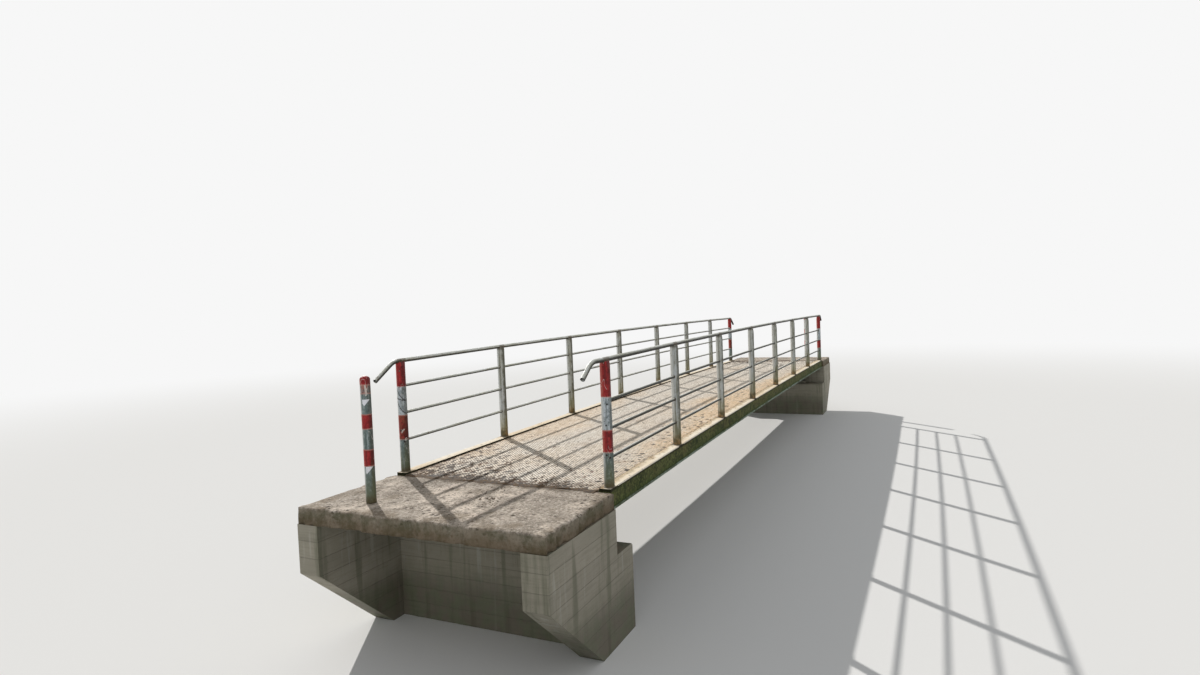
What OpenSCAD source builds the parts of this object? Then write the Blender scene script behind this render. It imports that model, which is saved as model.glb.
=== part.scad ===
// Low footbridge over a narrow stream: slab deck on two steel girders, tube railings on
// both sides, an approach slab and a marker bollard at each end, concrete abutments.
// Millimetres. X runs along the bridge, Y across it (left is +Y), Z up from the abutment feet.

/* [Span] */
// Distance between two neighbouring railing posts
post_spacing = 1800; // [1200:50:2400]
// Bays between the posts, the same on both sides
bays = 7; // [4:1:9]
// Deck beyond the axis of the outermost posts
deck_overhang = 75; // [60:5:200]
// Rise of the deck at midspan
camber = 32; // [0:2:90]
// Walking surface above the abutment feet, at the ends
deck_level = 1300; // [1100:10:2000]

/* [Deck] */
// Deck width over both edge beams
deck_width = 2314; // [1700:10:3200]
// Height of the edge beams
edge_height = 180; // [140:5:240]
// Smooth margin on top of each edge beam
margin_width = 112; // [90:2:180]
// How far the margins stand above the patterned surface
margin_rise = 15; // [5:1:40]
// Thickness of the lip along the foot of the edge beams
lip_thickness = 22; // [12:1:40]
// How far the lip stands out of the edge beam
lip_reach = 10; // [4:1:25]
// Chamfer along the outer top edge of the margins
margin_chamfer = 8; // [2:1:20]

/* [Railings] */
// Outer diameter of the posts
post_diameter = 90; // [60:1:110]
// Width across the way that the posts keep under the handrail
post_top = 60; // [54:1:90]
// Height over which the posts narrow towards the handrail
post_taper = 70; // [30:5:150]
// Handrail axis above the margin
handrail_height = 1100; // [900:10:1300]
// Outer diameter of the handrail
handrail_diameter = 42; // [34:1:54]
// Wall of the handrail tube
handrail_wall = 3; // [2:0.5:6]
// Outer diameter of the three rails
rail_diameter = 30; // [20:1:44]
// Upper rail of the right railing above the margin
right_upper = 746; // [650:2:800]
// Middle rail of the right railing above the margin
right_middle = 502; // [430:2:600]
// Lower rail of the right railing above the margin
right_lower = 250; // [180:2:340]
// Upper rail of the left railing above the margin
left_upper = 850; // [700:2:880]
// Middle rail of the left railing above the margin
left_middle = 582; // [480:2:640]
// Lower rail of the left railing above the margin
left_lower = 312; // [200:2:380]
// How far the handrail sinks into the saddle on top of each post
saddle_depth = 9; // [4:1:20]
// Level run of the right handrail past the outermost posts
right_run = 185; // [20:5:260]
// Level run of the left handrail past the outermost posts
left_run = 25; // [20:5:260]
// Radius of the bend at the handrail ends
bend_radius = 230; // [150:10:300]
// Angle of the bend at the right handrail's ends
right_bend = 36; // [20:1:60]
// Angle of the bend at the left handrail's ends
left_bend = 32; // [20:1:60]
// Straight end of the right handrail after the bend
right_tail = 140; // [40:5:300]
// Straight end of the left handrail after the bend
left_tail = 250; // [40:5:300]

/* [Substructure] */
// Depth of the two girders
girder_depth = 300; // [220:10:400]
// Flange width of the girders
girder_flange = 160; // [120:10:220]
// Distance between the girder axes
girder_spacing = 1300; // [900:10:1500]
// Flange thickness of the girders
flange_thickness = 16; // [10:1:30]
// Web thickness of the girders
web_thickness = 12; // [8:1:20]
// Depth of the channels between the girders
channel_depth = 180; // [120:10:220]
// Width of the channels between the girders
channel_width = 70; // [50:5:100]
// Height of the bearing pads
bearing_height = 30; // [20:2:60]
// Height of the plinths under the bearing pads
plinth_height = 45; // [20:5:100]
// Length of the abutment walls along the bridge
abutment_length = 520; // [450:10:800]
// Height of the wing walls at their outer ends
wing_end_height = 420; // [300:10:700]

/* [Approaches] */
// Length of the approach slabs
approach_length = 1180; // [900:20:2000]
// How far the approach slabs stand out past the deck on each side
approach_reach = 43; // [0:1:200]
// Thickness of the approach slabs
approach_thickness = 150; // [100:5:220]
// Height of the marker bollards
bollard_height = 1070; // [800:5:1200]
// Diameter of the marker bollards
bollard_diameter = 86; // [70:1:120]
// Bollard axis from the joint between deck and slab
bollard_offset = 885; // [300:5:1000]
// Bollard axis from the middle of the way
bollard_side = 653; // [300:1:950]

/* [Hidden] */
$fn = 48;

span = post_spacing * bays;
half = span / 2 + deck_overhang;
inner_width = deck_width - 2 * margin_width;
approach_width = deck_width + 2 * approach_reach;
post_y = deck_width / 2 - post_diameter / 2;
margin_level = deck_level + margin_rise;
girder_top = margin_level - edge_height;
pad_level = girder_top - girder_depth - bearing_height;
seat_level = pad_level - plinth_height;
joint = 12;
back_wall = 190;
wing_wall = 220;
pad_length = 130;
pad_width = 180;
pad_setback = 15;
cap_height = 30;

steel = [0.60, 0.61, 0.59];
concrete = [0.70, 0.67, 0.60];
moss = [0.40, 0.42, 0.30];
paint = [0.72, 0.16, 0.13];
rubber = [0.15, 0.15, 0.15];

// top of the margins at each post; the deck runs straight between two posts
function station(i) = -span / 2 + i * post_spacing;
function arch(x) = camber * (1 - pow(2 * x / span, 2));
function level(i) = margin_level + arch(station(i));
// the points where the deck changes slope, with its two ends
function deck_line() = concat([[-half, margin_level]],
    [for (i = [0:bays]) [station(i), level(i)]], [[half, margin_level]]);
function backwards(list) = [for (i = [len(list) - 1:-1:0]) list[i]];

// a strip that follows the deck between two depths below the margins
module along(width, top, bottom) {
    line = deck_line();
    rotate([90, 0, 0]) linear_extrude(width, center = true)
        polygon(concat([for (p = line) p - [0, top]],
            backwards([for (p = line) p - [0, bottom]])));
}

// routes of the handrail axis in the side view: over the posts, and the bent end past the last post
function over_posts(longer) = concat([[-span / 2 - longer, level(0) + handrail_height]],
    [for (i = [longer > 0 ? 0 : 1:longer > 0 ? bays : bays - 1])
        [station(i), level(i) + handrail_height]],
    [[span / 2 + longer, level(bays) + handrail_height]]);
function past_last(run, a, tail, longer) =
    let (x = span / 2 + run, z = level(bays) + handrail_height, steps = 7, t = tail + longer)
    concat([[span / 2 - longer, z]],
        [for (k = [0:steps]) let (b = a * k / steps)
            [x + bend_radius * sin(b), z - bend_radius * (1 - cos(b))]],
        [[x + bend_radius * sin(a) + t * cos(a), z - bend_radius * (1 - cos(a)) - t * sin(a)]]);

// round tube swept along a route in the side view; square ends stand upright
module swept(route, d, sides, square) {
    n = len(route);
    function heading(i) = square && (i == 0 || i == n - 1) ? 0 :
        let (a = route[max(i - 1, 0)], b = route[min(i + 1, n - 1)])
        atan2(b[1] - a[1], b[0] - a[0]);
    rings = [for (i = [0:n - 1]) let (h = heading(i)) for (k = [0:sides - 1])
        let (u = d / 2 * cos(360 * (k + 0.5) / sides), v = d / 2 * sin(360 * (k + 0.5) / sides))
        [route[i][0] - v * sin(h), u, route[i][1] + v * cos(h)]];
    polyhedron(rings, concat(
        [[for (k = [0:sides - 1]) k]],
        [[for (k = [sides - 1:-1:0]) (n - 1) * sides + k]],
        [for (i = [0:n - 2]) for (k = [0:sides - 1])
            [i * sides + k, (i + 1) * sides + k,
             (i + 1) * sides + (k + 1) % sides, i * sides + (k + 1) % sides]]), convexity = 4);
}

module handrail() {
    difference() {
        swept(over_posts(0), handrail_diameter, 24, true);
        swept(over_posts(5), handrail_diameter - 2 * handrail_wall, 16, true);
    }
}

// bent open end of a handrail
module handrail_end(run, bend, tail) {
    difference() {
        swept(past_last(run, bend, tail, 0), handrail_diameter, 24, false);
        swept(past_last(run, bend, tail, 5), handrail_diameter - 2 * handrail_wall, 16, false);
    }
}
module handrail_ends(run, bend, tail) {
    handrail_end(run, bend, tail);
    mirror([1, 0, 0]) handrail_end(run, bend, tail);
}

// a post, narrowed on two sides towards its top and saddled where the handrail lies on it
module post(i) {
    height = handrail_height - handrail_diameter / 2 + saddle_depth;
    radius = post_diameter / 2;
    top = min(post_top / 2, radius - 2);
    slope = post_taper / (radius - top);
    difference() {
        translate([station(i), 0, level(i)]) intersection() {
            cylinder(h = height, d = post_diameter);
            rotate([90, 0, 90]) linear_extrude(post_diameter + 2, center = true)
                polygon([[-radius - 1, -1], [radius + 1, -1], [radius + 1, height - post_taper - slope],
                    [top - 1, height + slope], [1 - top, height + slope],
                    [-radius - 1, height - post_taper - slope]]);
        }
        translate([station(i) - post_diameter, 0, level(i) + handrail_height])
            rotate([0, 90, 0]) cylinder(h = 2 * post_diameter, d = handrail_diameter);
    }
}

// one piece of rail per bay, coped to the posts at both ends
module rail(height) {
    for (i = [0:bays - 1]) {
        rise = level(i + 1) - level(i);
        difference() {
            translate([station(i), 0, level(i) + height])
                rotate([0, 90 - atan2(rise, post_spacing), 0])
                    cylinder(h = norm([post_spacing, rise]), d = rail_diameter);
            for (k = [i, i + 1])
                translate([station(k), 0, margin_level]) cylinder(h = handrail_height, d = post_diameter);
        }
    }
}

module left_side() { translate([0, post_y, 0]) children(); }
module right_side() { translate([0, -post_y, 0]) children(); }

// the left edge beam: raised margin, upright outer side, lip along its foot
module edge_beam() {
    edge = deck_width / 2;
    difference() {
        union() {
            translate([0, edge - margin_width / 2, 0]) along(margin_width, 0, edge_height - lip_thickness);
            translate([0, edge + (lip_reach - margin_width) / 2, 0])
                along(margin_width + lip_reach, edge_height - lip_thickness, edge_height);
        }
        for (i = [0:bays - 1]) chamfer_cut(i, edge);
    }
}

// outer top edge taken off between two posts, which stand flush with it
module chamfer_cut(i, edge) {
    gap = 30;
    flat = margin_chamfer / sqrt(2);
    length = post_spacing - post_diameter - 2 * gap;
    rise = atan2(level(i + 1) - level(i), post_spacing);
    translate([station(i), edge, level(i)]) rotate([0, -rise, 0])
        translate([post_diameter / 2 + gap, 0, 0]) rotate([45, 0, 0])
            translate([0, -flat, -flat]) cube([length, 3 * margin_chamfer, 2 * flat]);
}

module girder() {
    foot = edge_height + girder_depth;
    along(girder_flange, edge_height, edge_height + flange_thickness);
    along(web_thickness, edge_height + flange_thickness, foot - flange_thickness);
    along(girder_flange, foot - flange_thickness, foot);
}

// channel between the girder webs, one under each pair of posts
module cross_beam(i) {
    wall = 9;
    clear = girder_spacing - web_thickness;
    middle = i == 0 ? station(i) + 60 : i == bays ? station(i) - 60 : station(i);
    translate([middle, 0, level(i) - edge_height - girder_depth / 2])
        rotate([90, 0, 0]) linear_extrude(clear, center = true) difference() {
            square([channel_width, channel_depth], center = true);
            translate([wall, 0]) square([channel_width, channel_depth - 2 * wall], center = true);
        }
}

// far abutment: a seat with two plinths for the girders, and a back wall up to the approach slab
module abutment() {
    front = half + joint + back_wall - abutment_length;
    depth = deck_level - approach_thickness;
    plinth_x = half - pad_setback - pad_length - 20;
    rotate([90, 0, 0]) linear_extrude(approach_width, center = true)
        polygon([[front, 0], [front + abutment_length, 0], [front + abutment_length, depth],
            [half + joint, depth], [half + joint, seat_level], [front + 20, seat_level],
            [front, seat_level - 20]]);
    for (side = [-1, 1])
        translate([plinth_x, side * girder_spacing / 2 - pad_width / 2 - 20, seat_level])
            cube([pad_length + 30, pad_width + 40, plinth_height]);
}

// wing wall that carries one side of the approach slab, its underside rising with the bank
module wing_far(side) {
    back = half + joint + back_wall;
    top = deck_level - approach_thickness;
    translate([0, side * (approach_width - wing_wall) / 2, 0])
        rotate([90, 0, 0]) linear_extrude(wing_wall, center = true)
            polygon([[back, 0], [back + 150, 0], [half + joint + approach_length, top - wing_end_height],
                [half + joint + approach_length, top], [back, top]]);
}

module bearing_pads() {
    for (side = [-1, 1])
        translate([half - pad_setback - pad_length, side * girder_spacing / 2 - pad_width / 2, pad_level])
            cube([pad_length, pad_width, bearing_height]);
}

module approach_slab() {
    edge = 12;
    bottom = deck_level - approach_thickness;
    translate([half + joint, 0, bottom])
        rotate([90, 0, 0]) linear_extrude(approach_width, center = true)
            polygon([[0, 0], [approach_length, 0], [approach_length, approach_thickness - edge],
                [approach_length - edge, approach_thickness], [0, approach_thickness]]);
}

module bollard_place() {
    translate([half + joint + bollard_offset, -bollard_side, deck_level]) children();
}
module bollard() {
    bollard_place() cylinder(h = bollard_height - cap_height, d = bollard_diameter);
}
module bollard_cap() {
    bollard_place() translate([0, 0, bollard_height - cap_height])
        rotate_extrude() intersection() {
            scale([bollard_diameter / 2, cap_height]) circle(r = 1);
            square([bollard_diameter, cap_height]);
        }
}

module near_end() { mirror([1, 0, 0]) children(); }

module deck_slab() { color(concrete) along(inner_width, margin_rise, edge_height); }
module edge_beam_left() { color(moss) edge_beam(); }
module edge_beam_right() { color(moss) mirror([0, 1, 0]) edge_beam(); }
module girder_left() { color(steel) translate([0, girder_spacing / 2, 0]) girder(); }
module girder_right() { color(steel) translate([0, -girder_spacing / 2, 0]) girder(); }
module cross_beams() { color(steel) for (i = [0:bays]) cross_beam(i); }
module bearings() { color(rubber) { bearing_pads(); near_end() bearing_pads(); } }
module abutment_near() { color(concrete) near_end() abutment(); }
module abutment_far() { color(concrete) abutment(); }
module wing_wall_near_left() { color(concrete) near_end() wing_far(1); }
module wing_wall_near_right() { color(concrete) near_end() wing_far(-1); }
module wing_wall_far_left() { color(concrete) wing_far(1); }
module wing_wall_far_right() { color(concrete) wing_far(-1); }
module approach_slab_near() { color(concrete) near_end() approach_slab(); }
module approach_slab_far() { color(concrete) approach_slab(); }
module handrail_left() { color(steel) left_side() handrail(); }
module handrail_right() { color(steel) right_side() handrail(); }
module handrail_ends_left() { color(steel) left_side() handrail_ends(left_run, left_bend, left_tail); }
module handrail_ends_right() { color(steel) right_side() handrail_ends(right_run, right_bend, right_tail); }
module rail_left_upper() { color(steel) left_side() rail(left_upper); }
module rail_left_middle() { color(steel) left_side() rail(left_middle); }
module rail_left_lower() { color(steel) left_side() rail(left_lower); }
module rail_right_upper() { color(steel) right_side() rail(right_upper); }
module rail_right_middle() { color(steel) right_side() rail(right_middle); }
module rail_right_lower() { color(steel) right_side() rail(right_lower); }
module post_left_1() { color(paint) left_side() post(0); }
module post_left_2() { color(steel) left_side() post(1); }
module post_left_3() { color(steel) left_side() post(2); }
module post_left_4() { color(steel) left_side() post(3); }
module post_left_5() { color(steel) left_side() post(4); }
module post_left_6() { color(steel) left_side() post(5); }
module post_left_7() { color(steel) left_side() post(6); }
module post_left_8() { color(paint) left_side() post(bays); }
module post_right_1() { color(paint) right_side() post(0); }
module post_right_2() { color(steel) right_side() post(1); }
module post_right_3() { color(steel) right_side() post(2); }
module post_right_4() { color(steel) right_side() post(3); }
module post_right_5() { color(steel) right_side() post(4); }
module post_right_6() { color(steel) right_side() post(5); }
module post_right_7() { color(steel) right_side() post(6); }
module post_right_8() { color(paint) right_side() post(bays); }
module bollard_near() { color(paint) rotate([0, 0, 180]) bollard(); }
module bollard_far() { color(paint) bollard(); }
module bollard_cap_near() { color(concrete) rotate([0, 0, 180]) bollard_cap(); }
module bollard_cap_far() { color(concrete) bollard_cap(); }

deck_slab();
edge_beam_left();
edge_beam_right();
girder_left();
girder_right();
cross_beams();
bearings();
abutment_near();
abutment_far();
wing_wall_near_left();
wing_wall_near_right();
wing_wall_far_left();
wing_wall_far_right();
approach_slab_near();
approach_slab_far();
handrail_left();
handrail_right();
handrail_ends_left();
handrail_ends_right();
rail_left_upper();
rail_left_middle();
rail_left_lower();
rail_right_upper();
rail_right_middle();
rail_right_lower();
post_left_1();
post_left_2();
post_left_3();
post_left_4();
post_left_5();
post_left_6();
post_left_7();
post_left_8();
post_right_1();
post_right_2();
post_right_3();
post_right_4();
post_right_5();
post_right_6();
post_right_7();
post_right_8();
bollard_near();
bollard_far();
bollard_cap_near();
bollard_cap_far();
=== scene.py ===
"""Looks of a low footbridge: finishes, weld beads, worn approach slabs, fixings, soil and grit."""
import math
import random

import bmesh
import bpy
from mathutils import Matrix, Vector, noise


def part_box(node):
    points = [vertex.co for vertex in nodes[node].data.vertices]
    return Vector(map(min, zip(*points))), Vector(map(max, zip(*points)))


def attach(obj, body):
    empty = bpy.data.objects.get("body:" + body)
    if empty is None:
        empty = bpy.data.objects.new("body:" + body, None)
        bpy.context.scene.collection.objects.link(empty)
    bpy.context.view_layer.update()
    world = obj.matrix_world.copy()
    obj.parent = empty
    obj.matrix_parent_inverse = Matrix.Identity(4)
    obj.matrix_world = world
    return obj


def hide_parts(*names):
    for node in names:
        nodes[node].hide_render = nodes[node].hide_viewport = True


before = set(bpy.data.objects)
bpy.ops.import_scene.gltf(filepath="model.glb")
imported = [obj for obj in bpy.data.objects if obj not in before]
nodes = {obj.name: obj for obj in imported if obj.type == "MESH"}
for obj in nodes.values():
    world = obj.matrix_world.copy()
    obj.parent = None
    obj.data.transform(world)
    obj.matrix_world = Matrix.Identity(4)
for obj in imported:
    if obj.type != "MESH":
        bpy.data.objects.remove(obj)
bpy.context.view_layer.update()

# sizes shared with the solids, in metres
SPACING, BAYS, CAMBER = 1.800, 7, 0.032
MARGIN, DECK = 1.315, 1.300
HALF_SPAN = SPACING * BAYS / 2
POST_R, RAIL_R, HAND_R, HAND_Z = 0.045, 0.015, 0.021, 1.100
POST_Y, EDGE_H = 1.112, 0.180
LEFT_RAILS, RIGHT_RAILS = (0.312, 0.582, 0.850), (0.250, 0.502, 0.746)
BOLLARD_X, BOLLARD_Y = 7.272, 0.653
GIRDER_Y, GIRDER_D, FLANGE_W, FLANGE_T, WEB_T = 0.650, 0.300, 0.160, 0.016, 0.012
# distances from midspan: the deck's end, the joint's middle, the approach slab's inner edge, the bearings
DECK_END, JOINT_X, SLAB_START, BEARING_X = 6.375, 6.381, 6.387, 6.250


def station(i):
    """Place of post i along the bridge."""
    return -HALF_SPAN + i * SPACING


def level(i):
    """Top of the margins at post i, on the camber."""
    return MARGIN + CAMBER * (1 - (station(i) / HALF_SPAN) ** 2)


def margin_at(x):
    """Top of the margins anywhere along the bridge, straight between two posts."""
    if abs(x) >= HALF_SPAN:
        return MARGIN
    k = min(int((x + HALF_SPAN) / SPACING), BAYS - 1)
    t = (x - station(k)) / SPACING
    return level(k) * (1 - t) + level(k + 1) * t


# materials

def rgb(r, g, b):
    """The shader's linear colour for one written as it looks on screen, from 0 to 255."""
    def linear(c):
        c = c / 255
        return c / 12.92 if c <= 0.04045 else ((c + 0.055) / 1.055) ** 2.4
    return (linear(r), linear(g), linear(b), 1.0)


class Graph:
    """Node tree of a material or a world, with a method for each kind of node that is used often."""

    def __init__(self, owner):
        owner.use_nodes = True
        self.tree = owner.node_tree
        self.tree.nodes.clear()

    def plug(self, value, socket):
        if isinstance(value, bpy.types.NodeSocket):
            self.tree.links.new(value, socket)
        else:
            socket.default_value = value

    def add(self, kind, *values, **settings):
        """A new node with those settings; its first inputs get the values, in order."""
        node = self.tree.nodes.new(kind)
        for key, value in settings.items():
            setattr(node, key, value)
        for value, socket in zip(values, node.inputs):
            self.plug(value, socket)
        return node

    def feed(self, node, **values):
        """The node, once the inputs of those names have their values."""
        for name, value in values.items():
            self.plug(value, node.inputs[name])
        return node

    def calc(self, op, a, b=0.0):
        return self.add("ShaderNodeMath", a, b, operation=op).outputs[0]

    def times(self, a, b):
        return self.calc("MULTIPLY", a, b)

    def plus(self, a, b):
        return self.calc("ADD", a, b)

    def minus(self, a, b):
        return self.calc("SUBTRACT", a, b)

    def push(self, a, b, share):
        """Value a moved by a share of b."""
        return self.plus(a, self.times(b, share))

    def larger(self, a, b):
        return self.calc("MAXIMUM", a, b)

    def size(self, a):
        return self.calc("ABSOLUTE", a)

    def fit(self, value, low, high, to_low=0.0, to_high=1.0):
        """Smooth step from to_low to to_high while value goes from low to high."""
        numbers = (value, low, high, to_low, to_high)
        return self.add("ShaderNodeMapRange", *numbers, interpolation_type="SMOOTHSTEP").outputs[0]

    def fall(self, value, low, high):
        """Smooth step down, from 1 to 0."""
        return self.fit(value, low, high, 1.0, 0.0)

    def show(self, kind, amount, one, two):
        """Output of that kind, which shows two where amount is 1, and one where it is 0."""
        both = self.add("ShaderNodeMixShader", amount, one.outputs[0], two.outputs[0])
        self.add(kind, both.outputs[0])


class Finish(Graph):
    """One node material. Every pattern is laid out in metres in the object's own frame."""

    def __init__(self, name):
        self.mat = bpy.data.materials.new(name)
        super().__init__(self.mat)
        self.bsdf = self.add("ShaderNodeBsdfPrincipled")
        self.add("ShaderNodeOutputMaterial", self.bsdf.outputs[0])
        self.p = self.add("ShaderNodeTexCoord").outputs["Object"]
        facing = self.add("ShaderNodeNewGeometry").outputs["Normal"]
        self.x, self.y, self.z = self.add("ShaderNodeSeparateXYZ", self.p).outputs
        self.nx, self.ny, self.nz = self.add("ShaderNodeSeparateXYZ", facing).outputs

    def sided(self, right=0.0, left=1.0):
        """One number on the right half of the bridge, another on the left."""
        return self.fit(self.y, -0.3, 0.3, right, left)

    def stretched(self, stretch, shift):
        """The object's coordinates, scaled and moved."""
        node = self.add("ShaderNodeMapping")
        return self.feed(node, Vector=self.p, Scale=stretch, Location=shift).outputs[0]

    def noise(self, scale, detail=3.0, rough=0.55, stretch=(1, 1, 1), shift=(0, 0, 0), distort=0.0):
        node = self.feed(self.add("ShaderNodeTexNoise"), Vector=self.stretched(stretch, shift),
                         Scale=scale, Detail=detail, Roughness=rough, Distortion=distort)
        return node.outputs[0]

    def cells(self, scale, feature="F1", output="Distance", shift=(0, 0, 0)):
        node = self.add("ShaderNodeTexVoronoi", feature=feature)
        self.feed(node, Vector=self.stretched((1, 1, 1), shift), Scale=scale)
        return node.outputs[output]

    def mix(self, amount, one, two):
        """Colour one where amount is 0, colour two where it is 1."""
        node = self.add("ShaderNodeMix", data_type="RGBA")
        for number, value in ((0, amount), (6, one), (7, two)):
            self.plug(value, node.inputs[number])
        return node.outputs[2]

    def blend(self, value, low, high, one, two):
        """Colour one where value is below low, colour two where it is above high."""
        return self.mix(self.fit(value, low, high), one, two)

    def coat(self, under, where, strength, colour):
        """A colour laid over the one under it."""
        return self.mix(self.times(where, strength), under, colour)

    def above(self, under, value, low, high, strength, colour):
        """A colour that comes in while value rises from low to high."""
        return self.mix(self.fit(value, low, high, 0.0, strength), under, colour)

    def below(self, under, value, low, high, strength, colour):
        """A colour that goes out while value rises from low to high."""
        return self.mix(self.fit(value, low, high, strength, 0.0), under, colour)

    def steps(self, value, stops):
        """Flat bands of colour: each stop is where a colour begins."""
        node = self.add("ShaderNodeValToRGB", value)
        ramp = node.color_ramp
        ramp.interpolation = "CONSTANT"
        while len(ramp.elements) < len(stops):
            ramp.elements.new(0.5)
        for element, (place, colour) in zip(ramp.elements, stops):
            element.position = place
            element.color = colour
        return node.outputs[0]

    def past_post(self):
        """Distance along the bridge to the nearest post."""
        return self.calc("PINGPONG", self.plus(self.x, HALF_SPAN), SPACING / 2)

    def above_margin(self):
        """Height above the margins, which follow the camber."""
        bow = self.times(self.times(self.x, self.x), CAMBER / HALF_SPAN ** 2)
        return self.plus(self.minus(self.z, MARGIN + CAMBER), bow)

    def spots(self, scale, share, size, stretch=(1, 1, 1), shift=(0, 0, 0)):
        """Scattered spots of ragged outline, 1 inside them; share of the cells have one."""
        wobble = self.feed(self.add("ShaderNodeTexNoise"), Vector=self.p, Scale=scale * 2.5)
        moved = self.add("ShaderNodeVectorMath", wobble.outputs["Color"], (0.5 / scale,) * 3,
                         self.stretched(stretch, shift), operation="MULTIPLY_ADD")
        node = self.feed(self.add("ShaderNodeTexVoronoi"), Vector=moved.outputs[0], Scale=scale)
        tone = self.add("ShaderNodeSeparateColor", node.outputs["Color"])
        near = self.fall(node.outputs["Distance"], size * 0.55, size)
        pick = self.fit(tone.outputs[0], 1 - share, 1.01 - share)
        return self.times(near, pick)

    def bump(self, height, distance, strength, below=None):
        node = self.feed(self.add("ShaderNodeBump"), Strength=strength, Distance=distance, Height=height)
        if below is not None:
            self.plug(below, node.inputs["Normal"])
        return node.outputs[0]

    def done(self, colour, rough, normal, shine=0.5):
        for key, value in (("Base Color", colour), ("Roughness", rough),
                           ("Specular IOR Level", shine), ("Normal", normal)):
            self.plug(value, self.bsdf.inputs[key])
        return self.mat

    def done_paint(self, colour, mid, fine, chip):
        """Weathered paint on a tube, with its chips sunk in."""
        height = self.plus(self.times(mid, 0.5), self.times(fine, 0.35))
        height = self.minus(height, self.times(chip, 0.6))
        normal = self.bump(height, 0.0007, 0.6)
        return self.done(colour, self.fit(mid, 0.35, 0.7, 0.50, 0.70), normal, 0.35)


SOIL, DARK_SOIL = rgb(92, 74, 52), rgb(52, 44, 32)
DEEP_MOSS, RUST = rgb(46, 58, 28), rgb(124, 68, 34)
RED, BROWN_RED, WHITE = rgb(156, 34, 36), rgb(124, 64, 44), rgb(196, 204, 210)
GREY, PINK = rgb(104, 120, 118), rgb(160, 100, 86)
NONE, FULL = (0, 0, 0, 1), (1, 1, 1, 1)


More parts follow.
